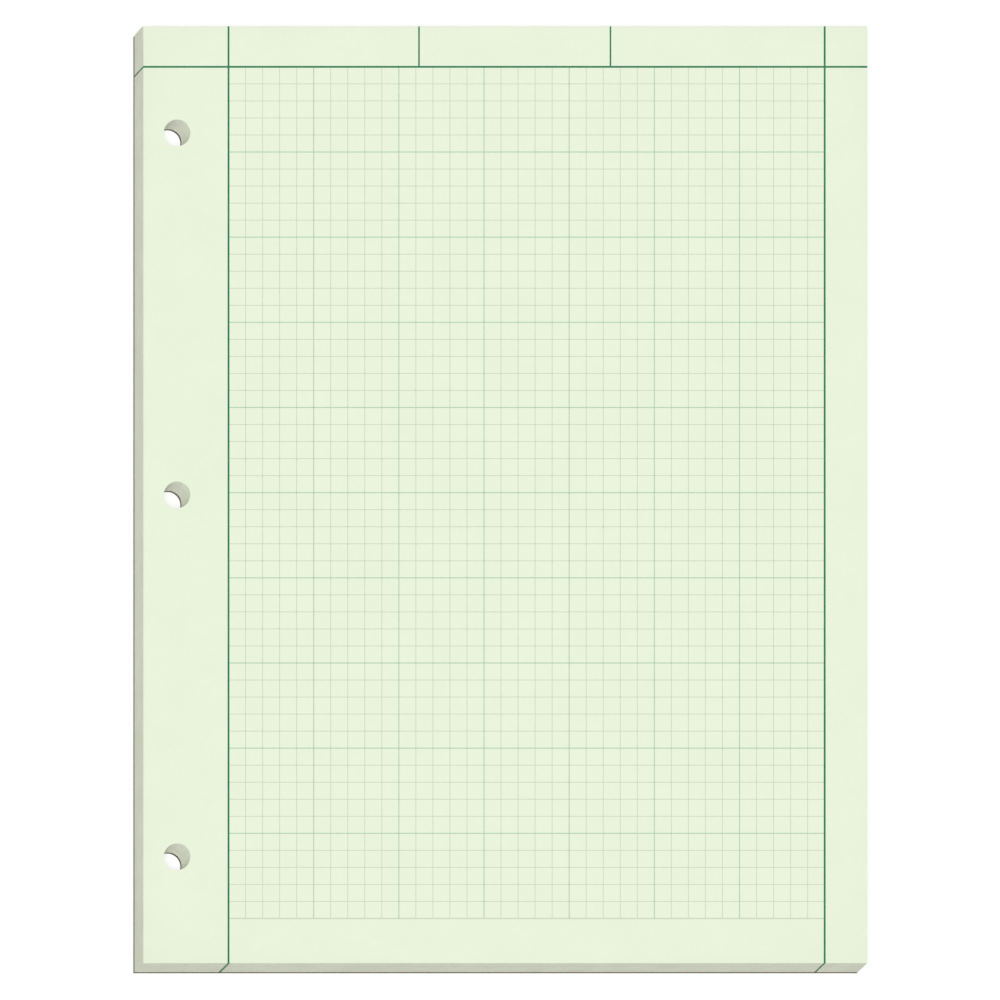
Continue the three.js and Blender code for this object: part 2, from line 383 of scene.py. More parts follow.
def leaf_tone_group():
    """A tone for each leaf of the stack, by its height, with streaks along the edge, and a mask of
    where two leaves meet."""
    tree, given, result = new_group(
        "leaf_tone",
        "ShaderNodeTree",
        [
            ("Vector", "Vector", None),
            ("First leaf", "Float", 0.0),
            ("Pitch", "Float", 1.0),
        ],
        [("Tone", "Float"), ("Between leaves", "Float")],
    )
    height = parts_of(tree, given["Vector"])["Z"]
    from_first = math_node(tree, "SUBTRACT", height, given["First leaf"])
    leaves_up = math_node(tree, "DIVIDE", from_first, given["Pitch"])
    leaf = math_node(tree, "FLOOR", leaves_up)
    within = math_node(tree, "FRACT", leaves_up)
    whole = add(tree, "ShaderNodeTexWhiteNoise", {"W": leaf}, noise_dimensions="1D")
    streak = noisy(tree, given["Vector"], 1600.0, 3.0, 0.7, stretch=(0.008, 0.008, 1.0))
    tone = math_node(
        tree,
        "ADD",
        math_node(tree, "MULTIPLY", whole.outputs["Value"], 0.3),
        math_node(tree, "MULTIPLY", streak, 0.7),
    )
    from_middle = math_node(tree, "ABSOLUTE", math_node(tree, "SUBTRACT", within, 0.5))
    tree.links.new(tone, result["Tone"])
    tree.links.new(ranged(tree, from_middle, 0.3, 0.5), result["Between leaves"])


def wear_and_shade_group():
    """A mask that rises towards the outline of a sheet: wear where hands and desks rub its faces,
    and painted shade over its trimmed edges.
    """
    tree, given, result = new_group(
        "edge_wear_and_shade",
        "ShaderNodeTree",
        [
            ("Vector", "Vector", None),
            ("Half width", "Float", 0.1),
            ("Half length", "Float", 0.1),
            ("Reach", "Float", 0.004),
        ],
        [("Worn and shaded", "Float")],
    )
    parts = parts_of(tree, given["Vector"])
    gaps = []
    for part, half in ((parts["X"], given["Half width"]), (parts["Y"], given["Half length"])):
        gaps.append(math_node(tree, "SUBTRACT", half, math_node(tree, "ABSOLUTE", part)))
    # multiplied, the two gaps stay small furthest in at the corners, which are rubbed most
    product = math_node(tree, "MULTIPLY", gaps[0], gaps[1])
    nearness = math_node(tree, "SQRT", math_node(tree, "MAXIMUM", product, 0.0))
    rising = ranged(tree, nearness, given["Reach"], 0.0)
    patchy = noisy(tree, given["Vector"], 160.0, 1.0)
    patches = ranged(tree, patchy, 0.25, 0.75, 0.75, 1.0)
    tree.links.new(math_node(tree, "MULTIPLY", rising, patches), result["Worn and shaded"])


def felted(tree, place, fibres, clouds):
    inputs = {"Vector": place, "Fibres per metre": fibres, "Clouds per metre": clouds}
    return use_group(tree, "felted_fibre", inputs)


def leaf_tones(tree, place, sizes):
    inputs = {"Vector": place, "First leaf": BOARD_TOP, "Pitch": leaf_pitch(sizes)}
    return use_group(tree, "leaf_tone", inputs)


# Materials


def empty_material(name):
    """A new material and its cleared tree."""
    material = bpy.data.materials.new(name)
    material.use_nodes = True
    material.node_tree.nodes.clear()
    return material, material.node_tree


def new_material(name, specular=0.5):
    """A material of one shader: it, its tree, the shader and the Object coordinates."""
    material, tree = empty_material(name)
    shader = add(tree, "ShaderNodeBsdfPrincipled", {"Specular IOR Level": specular})
    add(tree, "ShaderNodeOutputMaterial", {"Surface": shader.outputs["BSDF"]})
    place = tree.nodes.new("ShaderNodeTexCoord").outputs["Object"]
    return material, tree, shader, place


def sideways_mask(tree):
    """1 on upright faces and 0 on level ones."""
    normal = tree.nodes.new("ShaderNodeNewGeometry").outputs["Normal"]
    level = math_node(tree, "ABSOLUTE", parts_of(tree, normal)["Z"])
    return math_node(tree, "SUBTRACT", 1.0, level, clamp=True)


def bump(tree, height, distance, strength):
    inputs = {"Height": height, "Distance": distance, "Strength": strength}
    return add(tree, "ShaderNodeBump", inputs).outputs["Normal"]


def leaf_pitch(sizes):
    """From one leaf to the next."""
    return (FACE_HEIGHT - BOARD_TOP - sizes.leaf_thickness) / (sizes.leaf_count - 1)


def paper_material(sizes, finishes):
    """Pale green ledger paper: faintly mottled on its faces, and different at its cut edges, leaf
    by leaf."""
    material, tree, shader, place = new_material("ledger_paper", DULL)
    fibres = felted(tree, place, 1400.0, 70.0)
    tones = leaf_tones(tree, place, sizes)
    sheet = {"Half width": SHEET_WIDTH / 2, "Half length": SHEET_LENGTH / 2}
    worn_and_shaded = use_group(tree, "edge_wear_and_shade", {"Vector": place, **sheet, "Reach": RUBBED_REACH})
    mottle = math_node(
        tree,
        "ADD",
        spread(tree, fibres["Fibre"], -0.012, 0.012),
        spread(tree, fibres["Cloud"], -0.008, 0.008),
    )
    clean_level = math_node(tree, "ADD", 1.0, mottle)
    face_soil = math_node(tree, "MULTIPLY", worn_and_shaded["Worn and shaded"], RUBBED_FACE)
    face = scaled(tree, finishes.paper, math_node(tree, "SUBTRACT", clean_level, face_soil))
    # painted shade darkens the trimmed edges, and not the walls of the holes
    # painted light lifts the cut edges above the face's colour; their tone differs at random leaf
    # by leaf
    lit_edge = scaled(tree, finishes.lit_paper_edge, spread(tree, tones["Tone"], 0.94, 1.09))
    trimmed_edge_shade = math_node(tree, "MULTIPLY", worn_and_shaded["Worn and shaded"], EDGE_SHADE_SHARE)
    edge = mixed(tree, trimmed_edge_shade, lit_edge, finishes.trimmed_edge_shade)
    tree.links.new(mixed(tree, sideways_mask(tree), face, edge), shader.inputs["Base Color"])
    tree.links.new(spread(tree, fibres["Fibre"], 0.78, 0.9), shader.inputs["Roughness"])
    tree.links.new(bump(tree, fibres["Fibre"], 0.00001, 0.5), shader.inputs["Normal"])
    return material


def ink_material(name, ink, paper, least_cover):
    """Printed ink: it sinks into the paper unevenly, so that a little of the sheet shows in it."""
    material, tree, shader, place = new_material(name, DULL)
    fibres = felted(tree, place, 2600.0, 160.0)
    cover = math_node(
        tree,
        "MULTIPLY",
        ranged(tree, fibres["Fibre"], 0.3, 0.6, least_cover, 1.0),
        ranged(tree, fibres["Cloud"], 0.25, 0.55, 0.97, 1.0),
    )
    tree.links.new(mixed(tree, cover, paper, ink), shader.inputs["Base Color"])
    tree.links.new(spread(tree, fibres["Fibre"], 0.6, 0.8), shader.inputs["Roughness"])
    return material


def chipboard_material(finishes):
    """Recycled chipboard: brown-grey pulp with long fibres, dark and pale flecks, and plies that
    show at the cut edge."""
    material, tree, shader, place = new_material("grey_chipboard", DULL)
    fibres = felted(tree, place, 700.0, 45.0)
    clouds = spread(tree, fibres["Cloud"], 0.0, 0.35)
    pulp = mixed(tree, clouds, finishes.board, finishes.board_fleck)
    haired = scaled(tree, pulp, spread(tree, fibres["Fibre"], 0.86, 1.12))
    # the peaks of one noise are dark flecks, and its hollows are pale ones
    scattered = noisy(tree, place, 520.0, 3.0, 0.6)
    dark = ranged(tree, scattered, 0.64, 0.7, 0.0, 0.8)
    pale = ranged(tree, scattered, 0.34, 0.28, 0.0, 0.35)
    flecked = mixed(tree, dark, haired, finishes.board_fleck)
    flecked = mixed(tree, pale, flecked, finishes.paper)
    plies = noisy(tree, place, 7000.0, 2.0, stretch=(0.08, 0.08, 1.0))
    cut_edge = scaled(tree, flecked, spread(tree, plies, 0.42, 0.7))
    shown = mixed(tree, sideways_mask(tree), flecked, cut_edge)
    tree.links.new(shown, shader.inputs["Base Color"])
    tree.links.new(spread(tree, fibres["Fibre"], 0.82, 0.96), shader.inputs["Roughness"])
    tree.links.new(bump(tree, fibres["Fibre"], 0.00006, 0.6), shader.inputs["Normal"])
    return material


def compound_material(sizes, finishes):
    """Dried padding compound: a milky satin film, brushed along the edge, with the board, the
    leaves and the ends of the rules faint under it."""
    material, tree, shader, place = new_material("brushed_compound")
    streak = noisy(tree, place, 2400.0, 4.0, 0.6, stretch=(0.06, 1.0, 1.0))
    pooled = noisy(tree, place, 120.0, 3.0)
    brushed = math_node(
        tree, "MULTIPLY", spread(tree, streak, 0.88, 1.06), spread(tree, pooled, 0.95, 1.03)
    )
    tones = leaf_tones(tree, place, sizes)
    between = math_node(tree, "MULTIPLY", tones["Between leaves"], 0.14)
    film = scaled(tree, finishes.compound, math_node(tree, "SUBTRACT", brushed, between))
    parts = parts_of(tree, place)
    board_shows = ranged(
        tree, parts["Z"], BOARD_TOP, BOARD_TOP - sizes.leaf_thickness, 0.0, 0.55
    )
    film = mixed(tree, board_shows, film, finishes.board)
    over_leaves = math_node(tree, "GREATER_THAN", parts["Z"], BOARD_TOP)
    for rule in rule_columns(sizes):
        gap = math_node(tree, "ABSOLUTE", math_node(tree, "SUBTRACT", parts["X"], rule))
        width = sizes.rule_end_width
        over_rule = ranged(tree, gap, width, width / 2, 0.0, 0.45)
        rule_shows = math_node(tree, "MULTIPLY", over_rule, over_leaves)
        film = mixed(tree, rule_shows, film, finishes.rule_ink)
    tree.links.new(film, shader.inputs["Base Color"])
    tree.links.new(spread(tree, pooled, 0.28, 0.5), shader.inputs["Roughness"])
    tree.links.new(bump(tree, streak, 0.00004, 0.5), shader.inputs["Normal"])
    return material


def shown_white_mask(tree):
    """1 for rays from the camera, or seen in or through something glossy."""
    path = tree.nodes.new("ShaderNodeLightPath").outputs
    either = math_node(tree, "MAXIMUM", path["Is Camera Ray"], path["Is Glossy Ray"])
    return math_node(tree, "MAXIMUM", either, path["Is Transmission Ray"])


def floor_material():
    """White seamless paper. What the camera sees of it glows a little, so that it stays white and
    still takes the pad's shadow."""
    material, tree = empty_material("studio_floor")
    plain = add(tree, "ShaderNodeBsdfDiffuse", {"Color": FLOOR_GREY})
    shaded = add(tree, "ShaderNodeBsdfDiffuse", {"Color": SHOWN_GREY})
    glow = add(tree, "ShaderNodeEmission", {"Color": WHITE, "Strength": SHOWN_GLOW})
    shown = add(
        tree, "ShaderNodeAddShader", {0: shaded.outputs["BSDF"], 1: glow.outputs["Emission"]}
    )
    picked = add(
        tree,
        "ShaderNodeMixShader",
        {0: shown_white_mask(tree), 1: plain.outputs["BSDF"], 2: shown.outputs["Shader"]},
    )
    add(tree, "ShaderNodeOutputMaterial", {"Surface": picked.outputs["Shader"]})
    return material


# Meshes


def new_object(name, vertices, faces, material=None):
    mesh = bpy.data.meshes.new(name)
    mesh.from_pydata(vertices, [], faces)
    mesh.validate()
    if material:
        mesh.materials.append(material)
    made = bpy.data.objects.new(name, mesh)
    bpy.context.scene.collection.objects.link(made)
    return made


def circle(centre, radius, sides):
    turns = (2 * math.pi * side / sides for side in range(sides))
    return [
        (centre[0] + radius * math.cos(turn), centre[1] + radius * math.sin(turn))
        for turn in turns
    ]


def wavering(place):
    """Smooth noise at a place, from 0 to 1."""
    return 0.5 + 0.5 * noise.noise(Vector(place))


def plate_mesh(outline, holes, low, high, spacing):
    """Vertices and faces of a closed plate, cut to an outline that runs anticlockwise, with holes
    through it. Points this far apart inside it keep its triangles from running to slivers."""
    loops = [outline, *holes]
    starts = [sum(len(loop) for loop in loops[:number]) for number in range(len(loops))]
    rims = [point for loop in loops for point in loop]
    edges = []
    for start, loop in zip(starts, loops):
        edges += [(start + step, start + (step + 1) % len(loop)) for step in range(len(loop))]
    points = [Vector(point) for point in rims + inner_points(outline, holes, spacing)]
    # 1 asks for the triangles within the outline, which are those in the holes too
    triangles = delaunay_2d_cdt(points, edges, [], 1, MERGE_DISTANCE)[2]
    count = len(points)
    vertices = [(*point, high) for point in points] + [(*point, low) for point in points]
    hole_corners = [range(start, start + len(hole)) for start, hole in zip(starts[1:], holes)]
    faces = []
    for triangle in triangles:
        if any(all(corner in corners for corner in triangle) for corners in hole_corners):
            continue
        faces.append(tuple(triangle))
        faces.append(tuple(corner + count for corner in reversed(triangle)))
    for number, (here, after) in enumerate(edges):
        wall = (here, here + count, after + count, after)
        # a hole's wall faces into the hole
        faces.append(wall if number < len(outline) else wall[::-1])
    return vertices, faces


def inner_points(outline, holes, spacing):
    """Points of a square lattice inside the outline, clear of its sides and of the holes."""
    low = [min(point[axis] for point in outline) for axis in range(2)]
    high = [max(point[axis] for point in outline) for axis in range(2)]
    counts = [max(1, round((high[axis] - low[axis]) / spacing)) for axis in range(2)]
    rings = []
    for hole in holes:
        centre = sum((Vector(point) for point in hole), Vector((0, 0))) / len(hole)
        rings.append((centre, (Vector(hole[0]) - centre).length + spacing / 4))
    kept = []
    for column in range(1, counts[0]):
        for row in range(1, counts[1]):
            x = low[0] + (high[0] - low[0]) * column / counts[0]
            y = low[1] + (high[1] - low[1]) * row / counts[1]
            if all((Vector((x, y)) - centre).length > reach for centre, reach in rings):
                kept.append((x, y))
    return kept


def box_mesh(boxes):
    """Vertices and faces of separate boxes, each given by its lowest and highest corners."""
    vertices = []
    faces = []
    for low, high in boxes:
        start = len(vertices)
        for z in (low[2], high[2]):
            vertices += [
                (low[0], low[1], z),
                (high[0], low[1], z),
                (high[0], high[1], z),
                (low[0], high[1], z),
            ]
        walls = [(side, (side + 1) % 4, (side + 1) % 4 + 4, side + 4) for side in range(4)]
        for face in [(3, 2, 1, 0), (4, 5, 6, 7), *walls]:
            faces.append(tuple(start + corner for corner in face))
    return vertices, faces


def grow(made, tree, values):
    """Runs a geometry tree on the object with its inputs set by name, and keeps the result as its
    plain mesh."""
    modifier = made.modifiers.new(tree.name, "NODES")
    modifier.node_group = tree
    for socket in tree.interface.items_tree:
        if socket.in_out == "INPUT" and socket.name in values:
            modifier[socket.identifier] = values[socket.name]
    depsgraph = bpy.context.evaluated_depsgraph_get()
    grown = made.evaluated_get(depsgraph)
    mesh = bpy.data.meshes.new_from_object(grown, depsgraph=depsgraph)
    # what had no material before the tree gave it one leaves an empty slot
    for number in reversed(range(len(mesh.materials))):
        if mesh.materials[number] is None:
            mesh.materials.pop(index=number)
    made.modifiers.clear()
    made.data = mesh


def settle(made, slot, *replaced):
    """Ties a finished piece to the frame."""
    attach(made, BODY)
    if replaced:
        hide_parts(*replaced)


# Geometry trees


def finish_tree(tree, geometry, material, result):
    """Ends a geometry tree: makes its copies real and gives them their material."""
    real = add(tree, "GeometryNodeRealizeInstances", {"Geometry": geometry})
    dressed = add(
        tree,
        "GeometryNodeSetMaterial",
        {"Geometry": real.outputs["Geometry"], "Material": material},
    )
    tree.links.new(dressed.outputs["Geometry"], result["Geometry"])


def stacked_leaves_tree():
    """Copies of one leaf laid on each other, each trimmed and slipped across a little at random."""
    tree, given, result = new_group(
        "stacked_leaves",
        "GeometryNodeTree",
        [
            ("Geometry", "Geometry", None),
            ("Leaves", "Int", 100),
            ("Pitch", "Float", 0.0001),
            ("Gummed edge", "Vector", None),
            ("Slip", "Float", 0.0001),
            ("Width", "Float", 0.2),
            ("Length", "Float", 0.3),
            ("Seed", "Int", 0),
            ("Material", "Material", None),
        ],
        [("Geometry", "Geometry")],
    )
    rise = add(tree, "ShaderNodeCombineXYZ", {"Z": given["Pitch"]}).outputs["Vector"]
    heights = add(
        tree,
        "GeometryNodeMeshLine",
        {"Count": given["Leaves"], "Start Location": given["Gummed edge"], "Offset": rise},
    )
    half_slip = math_node(tree, "MULTIPLY", given["Slip"], 0.5)
    # one draw each for the place across, the width and the length
    shares = []
    for turn, (least, most) in enumerate(((-1.0, 1.0), (0.0, 1.0), (0.0, 1.0))):
        seed = math_node(tree, "ADD", given["Seed"], float(turn))
        # a Random Value node's numbers are its inputs 2 and 3 and its output 1
        draw = {2: least, 3: most, "Seed": seed}
        share = add(tree, "FunctionNodeRandomValue", draw, data_type="FLOAT")
        shares.append(share.outputs[1])
    across = add(
        tree, "ShaderNodeCombineXYZ", {"X": math_node(tree, "MULTIPLY", shares[0], half_slip)}
    )
    slipped = add(
        tree,
        "GeometryNodeSetPosition",
        {"Geometry": heights.outputs["Mesh"], "Offset": across.outputs["Vector"]},
    )
    # a leaf slips half the slip either way, so it is at least a slip narrower, and stays inside
    # the trimmed edges
    trims = []
    for share, side, least in ((shares[1], "Width", 1.0), (shares[2], "Length", 0.0)):
        cut = math_node(tree, "MULTIPLY", math_node(tree, "ADD", share, least), given["Slip"])
        trim = math_node(tree, "DIVIDE", cut, given[side])
        trims.append(math_node(tree, "SUBTRACT", 1.0, trim))
    scale = add(tree, "ShaderNodeCombineXYZ", {"X": trims[0], "Y": trims[1], "Z": 1.0})
    copies = add(
        tree,
        "GeometryNodeInstanceOnPoints",
        {
            "Points": slipped.outputs["Geometry"],
            "Instance": given["Geometry"],
            "Scale": scale.outputs["Vector"],
        },
    )
    finish_tree(tree, copies.outputs["Instances"], given["Material"], result)
    return tree


def ruled_lines_tree():
    """A run of equal lines of ink beside what is there already: those that fall on inches, or all
    but those."""
    tree, given, result = new_group(
        "ruled_lines",
        "GeometryNodeTree",
        [
            ("Geometry", "Geometry", None),
            ("Lines", "Int", 10),
            ("First", "Vector", None),
            ("Step", "Vector", None),
            ("Line size", "Vector", None),
            ("Squares per inch", "Int", 5),
            ("Inch lines", "Bool", False),
            ("Material", "Material", None),
        ],
        [("Geometry", "Geometry")],
    )
    places = add(
        tree,
        "GeometryNodeMeshLine",
        {"Count": given["Lines"], "Start Location": given["First"], "Offset": given["Step"]},
    )
    index = tree.nodes.new("GeometryNodeInputIndex").outputs["Index"]
    number = math_node(tree, "ADD", index, 1.0)
    left_over = math_node(tree, "MODULO", number, given["Squares per inch"])
    is_inch_line = math_node(tree, "LESS_THAN", left_over, 0.5)
    wanted = add(
        tree,
        "FunctionNodeBooleanMath",
        {0: is_inch_line, 1: given["Inch lines"]},
        operation="XNOR",
    )
    bar = add(tree, "GeometryNodeMeshCube", {"Size": given["Line size"]})
    copies = add(
        tree,
        "GeometryNodeInstanceOnPoints",
        {
            "Points": places.outputs["Mesh"],
            "Selection": wanted.outputs["Boolean"],
            "Instance": bar.outputs["Mesh"],
        },
    )
    together = add(tree, "GeometryNodeJoinGeometry", {"Geometry": given["Geometry"]})
    tree.links.new(copies.outputs["Instances"], together.inputs["Geometry"])
    finish_tree(tree, together.outputs["Geometry"], given["Material"], result)
    return tree


# Layout of the print


def rule_columns(sizes):
    """Where the upright rules stand that reach the top edge: the two margins and the dividers."""
    left = LEFT_EDGE + sizes.left_margin
    first = left + sizes.first_cell
    return [left, RIGHT_EDGE - sizes.right_margin, first, first + sizes.second_cell]


def grid_frame(sizes):
    """Left, right, top and bottom of the grid, to the middles of the lines that bound it."""
    left, right = rule_columns(sizes)[:2]
    top = GUMMED_EDGE - sizes.header_depth
    room = SHEET_LENGTH - sizes.header_depth - sizes.foot_margin
    return left, right, top, top - math.floor(room / sizes.square) * sizes.square


def grid_runs(sizes, width, coats):
    """Columns, rows and the line that closes the grid at its foot, each as inputs of the tree of
    ruled lines."""
    left, right, top, bottom = grid_frame(sizes)
    middle = (left + right) / 2
    clear = sizes.rule_width / 2
    across = right - left - 2 * clear
    down = top - clear - bottom
    # rows end a coat over columns, so that no two faces share a plane
    low = FACE_HEIGHT - sizes.ink_step
    column_top = FACE_HEIGHT + coats * sizes.ink_step
    row_top = column_top + sizes.ink_step
    columns = {
        "Lines": round((right - left) / sizes.square) - 1,
        "First": (left + sizes.square, bottom + down / 2, (low + column_top) / 2),
        "Step": (sizes.square, 0, 0),
        "Line size": (width, down, column_top - low),
    }
    rows = {
        "Lines": round((top - bottom) / sizes.square) - 1,
        "First": (middle, top - sizes.square, (low + row_top) / 2),
        "Step": (0, -sizes.square, 0),
        "Line size": (across, width, row_top - low),
    }
    foot = {
        **rows,
        "Lines": 1,
        "First": (middle, bottom, (low + row_top) / 2),
        "Line size": (across, sizes.foot_line_width, row_top - low),
    }
    return columns, rows, foot


def rule_end_boxes(sizes):
    """The cut ends of the rules on one leaf, drawn from the middle of its gummed edge."""
    half = SHEET_WIDTH / 2
    half_end = sizes.rule_end_width / 2
    proud = END_PROUD_COATS * sizes.ink_step
    deep = END_ROOT_COATS * sizes.ink_step
    high = END_SHARE * leaf_pitch(sizes)
    header = -sizes.header_depth
    boxes = [
        ((-half - proud, header - half_end, 0), (-half + deep, header + half_end, high)),
        ((half - deep, header - half_end, 0), (half + proud, header + half_end, high)),
    ]
    foot = -SHEET_LENGTH
    for x in rule_columns(sizes)[:2]:
        boxes.append(((x - half_end, foot - proud, 0), (x + half_end, foot + deep, high)))
    return boxes


# Outlines of the board


def rough_outline():
    """The board's rectangle, anticlockwise, with the slight raggedness that a guillotine leaves in
    chipboard."""
    corners = [
        (LEFT_EDGE, BOTTOM_EDGE),
        (RIGHT_EDGE, BOTTOM_EDGE),
        (RIGHT_EDGE, GUMMED_EDGE),
        (LEFT_EDGE, GUMMED_EDGE),
    ]
    points = []
    for side, corner in enumerate(corners):
        start = Vector(corner)
        run = Vector(corners[(side + 1) % len(corners)]) - start
        inward = Vector((-run.y, run.x)).normalized()
        steps = round(run.length / RAGGED_STEP)
        for number in range(steps):
            place = start + run * number / steps
            share = 0 if number == 0 else wavering(place.to_3d() * EDGE_WAVES)
            points.append(tuple(place + inward * RAGGED_DEPTH * share))
    return points


def rough_circle(centre, radius):
    """A punched hole in chipboard, with its wall a little furry."""
    points = []
    for x, y in circle(centre, radius, SHOWN_HOLE_SIDES):
        place = Vector((x, y))
        outward = (place - centre).normalized()
        share = wavering(place.to_3d() * HOLE_WAVES)
        points.append(tuple(place + outward * RAGGED_DEPTH * share))
    return points


# Operators


class PAD_OT_sheets(bpy.types.Operator):
    """Lays the leaves one on another, with the cut ends of their rules, and the top sheet"""

    bl_idname = "pad.sheets"
    bl_label = "Sheets"

    def execute(self, context):
        sizes = context.scene.pad_sizes
        finishes = context.scene.pad_finishes
        paper = paper_material(sizes, finishes)
        radius = sizes.hole_diameter / 2
        half = SHEET_WIDTH / 2
        # a leaf is drawn from the middle of its gummed edge, so that it can be trimmed without
        # leaving that edge
        outline = [(-half, -SHEET_LENGTH), (half, -SHEET_LENGTH), (half, 0), (-half, 0)]
        holes = [circle((x, y - GUMMED_EDGE), radius, LEAF_HOLE_SIDES) for x, y in HOLE_CENTRES]
        # leaves inside the stack need no points within them, and this spacing gives none
        leaf = plate_mesh(outline, holes, 0, sizes.leaf_thickness, SHEET_LENGTH)
        leaves = new_object("leaf_stack", *leaf)
        tree = stacked_leaves_tree()
        stack = {
            "Leaves": sizes.leaf_count - 1,
            "Pitch": leaf_pitch(sizes),
            "Gummed edge": (0, GUMMED_EDGE, BOARD_TOP),
            "Slip": sizes.leaf_slip,
            "Width": SHEET_WIDTH,
            "Length": SHEET_LENGTH,
            "Seed": 11,
        }
        grow(leaves, tree, {**stack, "Material": paper})
        settle(leaves, "sheet_paper", "sheet_block")

        outline = [(x, y + GUMMED_EDGE) for x, y in outline]
        holes = [circle(centre, radius, SHOWN_HOLE_SIDES) for centre in HOLE_CENTRES]
        under = FACE_HEIGHT - sizes.leaf_thickness
        sheet = plate_mesh(outline, holes, under, FACE_HEIGHT, TOP_SHEET_SPACING)
        top = new_object("top_sheet", *sheet, paper)
        settle(top, "sheet_paper")

        # the rules run off three edges of every sheet, and their cut ends show there
        ink = ink_material("printed_rules", finishes.rule_ink, finishes.paper, RULE_COVER)
        ends = new_object("rule_ends", *box_mesh(rule_end_boxes(sizes)))
        grow(ends, tree, {**stack, "Material": ink})
        settle(ends, "rule_ink")
        return {"FINISHED"}


class PAD_OT_rules(bpy.types.Operator):
    """Prints the dark margin, header and divider rules on the top sheet, in the sheets' ink"""

    bl_idname = "pad.rules"
    bl_label = "Rules"

    def execute(self, context):
        sizes = context.scene.pad_sizes
        left, right, first, second = rule_columns(sizes)
        half_rule = sizes.rule_width / 2
        half_divider = sizes.divider_width / 2
        header = GUMMED_EDGE - sizes.header_depth
        header_low, header_high = header - half_rule, header + half_rule
        proud = sizes.ink_step
        deep = END_ROOT_COATS * sizes.ink_step
        foot = BOTTOM_EDGE - proud
        sunk = FACE_HEIGHT - sizes.ink_step
        top = FACE_HEIGHT + RULE_COATS * sizes.ink_step
        under = FACE_HEIGHT - sizes.leaf_thickness
        left_end, right_end = LEFT_EDGE - proud, RIGHT_EDGE + proud
        boxes = [((left_end, header_low, sunk), (right_end, header_high, top))]
        for low, high in ((left_end, LEFT_EDGE + deep), (RIGHT_EDGE - deep, right_end)):
            boxes.append(((low, header_low, under), (high, header_high, sunk)))
        # the margins lie a coat over the header rule
        for x in (left, right):
            low, high = x - half_rule, x + half_rule
            boxes.append(((low, foot, sunk), (high, GUMMED_EDGE, top + sizes.ink_step)))
            boxes.append(((low, foot, under), (high, BOTTOM_EDGE + deep, sunk)))
        for x in (first, second):
            low, high = x - half_divider, x + half_divider
            boxes.append(((low, header_high, sunk), (high, GUMMED_EDGE, top)))
        rules = new_object("face_rules", *box_mesh(boxes), bpy.data.materials["printed_rules"])
        settle(rules, "rule_ink", "margin_rules")
        return {"FINISHED"}


class PAD_OT_grid(bpy.types.Operator):
    """Rules the fine grid and the heavier inch lines on the top sheet"""

    bl_idname = "pad.grid"
    bl_label = "Grid"

    def execute(self, context):
        sizes = context.scene.pad_sizes
        finishes = context.scene.pad_finishes
        tree = ruled_lines_tree()
        for name, ink, width, coats, inch_lines in (
            ("fine_lines", finishes.fine_ink, sizes.fine_line_width, FINE_COATS, False),
            ("inch_lines", finishes.inch_ink, sizes.inch_line_width, INCH_COATS, True),
        ):
            lines = new_object(name, [], [])
            shared = {
                "Squares per inch": sizes.squares_per_inch,
                "Inch lines": inch_lines,
                "Material": ink_material("printed_" + name, ink, finishes.paper, GRID_COVER),
            }
            columns, rows, foot = grid_runs(sizes, width, coats)
            for run in (columns, rows) if inch_lines else (columns, rows, foot):
                grow(lines, tree, {**run, **shared})
            if inch_lines:
                settle(lines, "inch_line_ink", "inch_grid")
            else:
                settle(lines, "fine_line_ink", "fine_grid_rows", "fine_grid_columns")
        return {"FINISHED"}


class PAD_OT_board(bpy.types.Operator):
    """Cuts and punches the chipboard back"""

    bl_idname = "pad.board"
    bl_label = "Backing board"

    def execute(self, context):
        radius = context.scene.pad_sizes.hole_diameter / 2
        holes = [rough_circle(centre, radius) for centre in HOLE_CENTRES]
        plate = plate_mesh(rough_outline(), holes, BOARD_LOW.z, BOARD_TOP, BOARD_SPACING)
        board = new_object("chip_back", *plate, chipboard_material(context.scene.pad_finishes))
        settle(board, "chipboard", "backing_board")
        return {"FINISHED"}


class PAD_OT_compound(bpy.types.Operator):
    """Brushes the padding compound on the gummed edge"""

    bl_idname = "pad.compound"
    bl_label = "Padding compound"

    def execute(self, context):
        film = FILM_REACH - GUMMED_EDGE
        lip = FILM_LIP * film
        vertices = []
        for run in range(FILM_RUNS + 1):
            x = LEFT_EDGE + SHEET_WIDTH * run / FILM_RUNS
            # the brush leaves the film a little short of both faces, unevenly
            short = FILM_SHORTFALL * wavering((x * RIM_WAVES, 0, 0))
            low = short * UNDERSIDE_SHORTFALL
            high = FACE_HEIGHT - short
            vertices.append((x, GUMMED_EDGE, low))
            for level in range(FILM_RISE + 1):
                share = level / FILM_RISE
                z = low + (high - low) * share
                bow = lip + (film - lip) * (1 - (2 * share - 1) ** 2)
                streak = wavering((x * STREAK_WAVES[0], 0, z * STREAK_WAVES[1]))
                # pools are drawn from another layer of the noise, three waves off
                pool = wavering((x * POOL_WAVES[0], 3, z * POOL_WAVES[1]))
                vertices.append((x, GUMMED_EDGE + bow * (1 - FILM_RELIEF * streak * pool), z))
            vertices.append((x, GUMMED_EDGE, high))
        ring = FILM_RISE + 3
        last = FILM_RUNS * ring
        faces = [tuple(range(ring)), tuple(last + corner for corner in reversed(range(ring)))]
        for run in range(FILM_RUNS):
            for corner in range(ring):
                here = run * ring + corner
                after = run * ring + (corner + 1) % ring
                faces.append((here, here + ring, after + ring, after))
        material = compound_material(context.scene.pad_sizes, context.scene.pad_finishes)
        gum = new_object("compound_film", vertices, faces, material)
        gum.data.shade_smooth()
        gum.data.set_sharp_from_angle(angle=FILM_CREASE)
        settle(gum, "padding_compound", "padding_glue")
        return {"FINISHED"}


